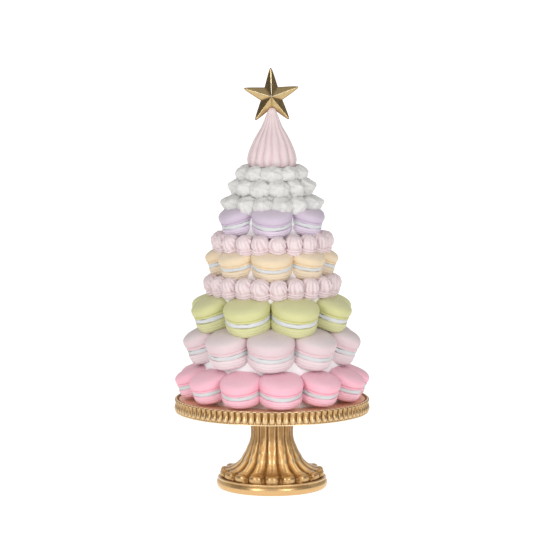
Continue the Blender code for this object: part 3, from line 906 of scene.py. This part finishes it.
def plate_floor():
    """The inside of the plate, a thin uneven skin on the disc, painted reddish as the pink macarons'
    reflection.
    """
    radius, height = columns(np.array([
        (0.0, 0.0004), (0.03, 0.0004), (0.06, 0.0004), (0.08, 0.0004), (0.09, 0.0004),
        (0.0935, 0.0004), (0.0945, 0.0002), (0.0945, -0.0004), (0.0, -0.0004)]))
    angles = angles_round(180)
    top = height > 0.0001
    waves = 0.0001 * wavering(angles * 3 + radius * 300, 45, 8) * top
    # darker and lighter patches, and a painted highlight over the whole top
    patches = 0.25 * top * wavering(angles * 2 + radius * 200, 47, 9)
    return ringed_mesh("floor", radius, PLATE_FLOOR + height + waves, {
        "wash_and_shade": patches, "painted_highlight": 0.35 * top})


print("the inside lies", round(1000 * (PLATE_TOP - PLATE_FLOOR), 1), "mm below the lip")

# %% Make the plate
add_piece("plate_turned", turned_plate(), STAND_GOLD, ["stand_plate"])
add_piece("plate_floor", plate_floor(), PLATE_PINK_REFLECTION, ["stand_plate"])
for name, profile, half_width, depth, tall, first in (
        ("plate_tongues", TONGUE, 0.0033, 0.0027, PLATE_TOP - PLATE_BOTTOM - 0.0010, 0.0),
        ("plate_darts", DART, 0.0007, 0.0022, 0.0046, 180 / TONGUES)):
    rim = ring_mesh(rim_piece(name, profile, half_width, depth, tall), STAND_GOLD, {
        "Count": TONGUES, "First azimuth": first, "Ring radius": PLATE_WALL, "Ring height": 0.0,
        "Unevenness": 0.00012, "Bump size": 0.004})
    add_piece(name, rim, STAND_GOLD, ["stand_plate"])

# %% [markdown]
# ## Pedestal
#
# Eighteen petals run down the pedestal, flare over the foot and curl up at their ends, on a round
# foot ring. It is one turned surface. Across a petal the radius follows a rounded curve that falls
# into the groove on each side, flat at the top of the column and fuller towards the foot. At the end
# of a petal its sides draw in, which leaves a rolled bead and a dark notch beside it. On the column
# the grooves stray, so that the petals in front are wider than those at the sides.

# %% The outlines of the petals and the foot
PETALS = 18
# radius, height, groove depth, flatness of the petal, how far the sides of its end draw in
PETAL_STATIONS = (
    (0.0222, 0.0767, 0.0010, 2.6, 0.0), (0.0219, 0.0700, 0.0013, 2.6, 0.0),
    (0.0214, 0.0600, 0.0016, 2.6, 0.0), (0.0214, 0.0523, 0.0018, 2.5, 0.0),
    (0.0228, 0.0460, 0.0020, 2.4, 0.0), (0.0252, 0.0403, 0.0022, 2.2, 0.0),
    (0.0270, 0.0362, 0.0024, 2.1, 0.0), (0.0296, 0.0320, 0.0027, 2.0, 0.0),
    (0.0318, 0.0279, 0.0030, 1.9, 0.0), (0.0339, 0.0257, 0.0032, 1.9, 0.0),
    (0.0364, 0.0235, 0.0034, 1.8, 0.0), (0.0400, 0.0212, 0.0036, 1.8, 0.0),
    (0.0440, 0.0196, 0.0036, 1.8, 0.0), (0.0475, 0.0189, 0.0032, 1.9, 0.0),
    (0.0500, 0.0189, 0.0028, 2.0, 0.0006), (0.0514, 0.0183, 0.0025, 2.0, 0.0014),
    (0.0518, 0.0174, 0.0023, 2.0, 0.0022), (0.0513, 0.0165, 0.0022, 2.0, 0.0030),
    (0.0521, 0.0157, 0.0021, 2.0, 0.0036), (0.0530, 0.0146, 0.0020, 2.0, 0.0038),
    (0.0531, 0.0135, 0.0018, 2.0, 0.0038), (0.0525, 0.0123, 0.0014, 2.0, 0.0034),
    (0.0511, 0.0115, 0.0008, 2.0, 0.0022), (0.0490, 0.0110, 0.0, 2.0, 0.0))
FOOT_LINE = ((0.0494, 0.0110), (0.0515, 0.0112), (0.0534, 0.0113), (0.0542, 0.0109), (0.0543, 0.0103),
             (0.0540, 0.0096), (0.0545, 0.0086), (0.0552, 0.0072), (0.0556, 0.0055), (0.0553, 0.0036),
             (0.0544, 0.0016), (0.0530, 0.0003), (0.0515, 0.0))
BEAD_MIDDLE = 0.0142    # height of the beads under the petals
STRAY = 0.14            # radians that the column's grooves stray to the sides, front and back
print("a petal takes", 360 / PETALS, "degrees")

# %% Make the pedestal


def fluted_pedestal():
    """The column, its petals, the beads under their ends and the foot ring."""
    petals = smooth_curve(PETAL_STATIONS, 160)
    foot = np.hstack([smooth_curve(FOOT_LINE, 36), np.tile((0.0, 2.2, 0.0), (36, 1))])
    rows = np.vstack([[(0, petals[0, 1], 0, 3, 0)], petals, foot, [(0, 0, 0, 3, 0)]])
    radius, height, groove, flat, draw = columns(rows)
    angles = angles_round(PETALS * 24)
    stray = STRAY * ramp(height, 0.020, 0.024)
    even = angles + stray * np.sin(2 * angles)          # wider petals in front and at the back
    even = angles + stray * np.sin(2 * even)
    across = abs((even * PETALS / (2 * np.pi)) % 1 - 0.5) * 2       # 0 in a petal's middle, 1 between
    fall = 1 - (1 - np.minimum(across, 0.999) ** flat) ** (1 / flat)
    bead = 1 - np.sqrt(1 - np.minimum(across / 0.80, 1) ** 2)
    radii = radius - groove * fall - draw * bead
    height = np.where(draw > 0, BEAD_MIDDLE + (height - BEAD_MIDDLE) * (1 - 0.5 * bead), height)
    open_petal = (groove > 0.0001) & (draw < 0.001)
    end = draw > 0.001
    above_lip = height > 0.0205
    # brown wash and painted shade in the grooves
    grooves = 0.95 * ramp(across, 0.60, 0.25) * open_petal
    # painted shadow on the column under the plate
    shadow_under_plate = 0.75 * ramp(height, 0.043, 0.010)
    # painted shade on the inner side of the curled lips
    behind_lip = 0.6 * near(radius, 0.0482, 0.0014) * (height > 0.0180)
    # painted shade on the petals' ends: in the notches and under the lips and beads
    notches = (0.3 + 0.9 * ramp(across, 0.62, 0.12)) * end
    under_lip = 0.8 * near(height, 0.0166, 0.0005) * end
    under_beads = 0.9 * (radius < 0.0512) * (height < 0.0118)
    # painted dark reflections, in patches round the foot ring
    patches = np.clip(0.5 + 0.8 * wavering(angles, 83, 9), 0, 1)
    foot_dark_reflection = 0.75 * patches * near(height, 0.0088, 0.0016) * (radius > 0.0535)
    wash_and_shade = grooves + shadow_under_plate + behind_lip + notches + under_lip + under_beads + foot_dark_reflection
    # painted highlights: two streaks down each open petal, a brighter middle on the flare, two spots on
    # each bead and a line on the foot ring's upper edge
    middle = np.interp(height, (0.020, 0.034, 0.041, 0.070), (0.24, 0.32, 0.60, 0.66))
    streaks = near(across, middle, 0.11) * open_petal * above_lip
    streaks = streaks * np.interp(height, (0.040, 0.050), (1.15, 0.6))
    flare = 0.3 * ramp(height, 0.042, -0.01) * (across < 0.6) * above_lip
    bead_highlights = near(across, 0.26, 0.10) * near(height, 0.0148, 0.0009) * (draw > 0.003)
    foot_edge = 0.35 * (height > 0.0100) * (radius > 0.0538)
    painted_highlight = streaks + flare + 1.9 * bead_highlights + foot_edge
    return ringed_mesh("pedestal", radii, height, {"wash_and_shade": np.clip(wash_and_shade, 0, 1), "painted_highlight": painted_highlight})


add_piece("pedestal_fluted", fluted_pedestal(), STAND_GOLD, ["stand_pedestal"])

# %% [markdown]
# ## Floor, light and camera
#
# The object stands on a plain white table in soft light, with two softboxes in front, left and
# right, which draw the paired highlights on the gold. The room is pale, but gilt that mirrors only
# white looks flat, so what it mirrors is dark in three corners. The room is brighter at the sides
# than overhead, like a light tent, because the undersides are nearly as light as the tops. The
# camera looks from the front and a little above, through a long lens, and sees a white backdrop.

# %% Floor
FLOOR_RADIUS = 1.6
FLOOR_TONE = (0.62, 0.62, 0.62, 1)
FLOOR_GLOW = 0.74       # its own light, which makes the table as white as the backdrop


def add_floor():
    """A plain pale disc to stand on."""
    work = bmesh.new()
    bmesh.ops.create_circle(work, cap_ends=True, segments=64, radius=FLOOR_RADIUS)
    mesh = bpy.data.meshes.new("floor")
    work.to_mesh(mesh)
    work.free()
    paint, tree, surface = new_paint("floor_paint")
    feed(tree, surface, {"Base Color": FLOOR_TONE, "Roughness": 0.9, "Emission Color": (1, 1, 1, 1),
                         "Emission Strength": FLOOR_GLOW})
    mesh.materials.append(paint)
    add_object("floor", mesh)


add_floor()
print("the floor is", 2 * FLOOR_RADIUS, "m across")

# %% Light
TARGET = Vector((0.0, 0.0, 0.2))
BACKDROP = 1.2          # strength of the white that the camera sees
HORIZON = 0.72          # strength of the light that the room gives from the sides
OVERHEAD = 0.475        # and from above
# the direction of each dark corner, and how dark it is, up to 1
DARK_CORNERS = (((-0.87, -0.42, 0.20), 0.90), ((0.87, -0.42, 0.20), 0.80), ((0.80, 0.60, 0.05), 0.45))
CORNER_CORE = 20        # degrees round its direction where a corner is darkest
CORNER_EDGE = 38        # and where its dark ends
SOFTBOX_SIZE = (0.45, 0.9)              # width and height


def add_softbox(name, place, watts):
    """A rectangular light that faces the tower."""
    light = bpy.data.lights.new(name, "AREA")
    light.shape = "RECTANGLE"
    light.size, light.size_y = SOFTBOX_SIZE
    light.energy = watts
    box = add_object(name, light)
    box.location = place
    box.rotation_euler = (TARGET - Vector(place)).to_track_quat("-Z", "Y").to_euler()


def light_room():
    """A pale room, darker in places for what mirrors it, and a white backdrop for the camera."""
    world = bpy.data.worlds.new("studio")
    bpy.context.scene.world = world
    world.use_nodes = True
    tree = world.node_tree
    direction = add_node(tree, "ShaderNodeTexCoord").outputs["Generated"]
    ray = add_node(tree, "ShaderNodeLightPath").outputs
    up = add_node(tree, "ShaderNodeSeparateXYZ", {0: direction}).outputs["Z"]
    strength = add_node(tree, "ShaderNodeMapRange", {
        0: up, 1: 0.0, 2: 1.0, 3: HORIZON, 4: OVERHEAD}).outputs[0]
    for corner, depth in DARK_CORNERS:
        facing = add_node(tree, "ShaderNodeVectorMath", {0: direction, 1: Vector(corner).normalized()},
                          operation="DOT_PRODUCT").outputs["Value"]
        dark = add_node(tree, "ShaderNodeMapRange", {
            0: facing, 1: math.cos(math.radians(CORNER_EDGE)), 2: math.cos(math.radians(CORNER_CORE)),
            3: 0.0, 4: depth}, interpolation_type="SMOOTHSTEP").outputs[0]
        dark = maths(tree, "MULTIPLY", dark, ray["Is Glossy Ray"])
        strength = maths(tree, "MULTIPLY", strength, maths(tree, "SUBTRACT", 1.0, dark))
    seen = maths(tree, "MULTIPLY", ray["Is Camera Ray"], BACKDROP)
    feed(tree, tree.nodes["Background"], {
        "Color": (1, 1, 1, 1), "Strength": maths(tree, "MAXIMUM", strength, seen)})


add_softbox("softbox_left", (-0.90, -1.40, 0.72), watts=9.0)
add_softbox("softbox_right", (0.88, -1.40, 0.72), watts=8.0)
light_room()
bpy.context.scene.view_settings.view_transform = "Standard"
print("lights:", len(bpy.data.lights), "and the room")

# %% Camera
CAMERA_AWAY = 2.4
CAMERA_UP = 0.458
AIM_UP = 0.2223         # the height that it looks at
LENS = 163.3            # millimetres
SENSOR = 36             # millimetres
OFF_MIDDLE = 5.5        # pixels that the tower stands right of the photograph's middle
PHOTO_WIDTH = 533
camera_data = bpy.data.cameras.new("camera")
camera_data.lens = LENS
camera_data.sensor_width = SENSOR
camera_data.shift_x = -OFF_MIDDLE / PHOTO_WIDTH
camera_data.clip_end = 20
camera = add_object("camera", camera_data)
camera.location = (0, -CAMERA_AWAY, CAMERA_UP)
camera.rotation_euler = (math.pi / 2 - math.atan((CAMERA_UP - AIM_UP) / CAMERA_AWAY), 0, 0)
bpy.context.scene.camera = camera
print("the camera looks down by", round(90 - math.degrees(camera.rotation_euler.x), 1), "degrees")
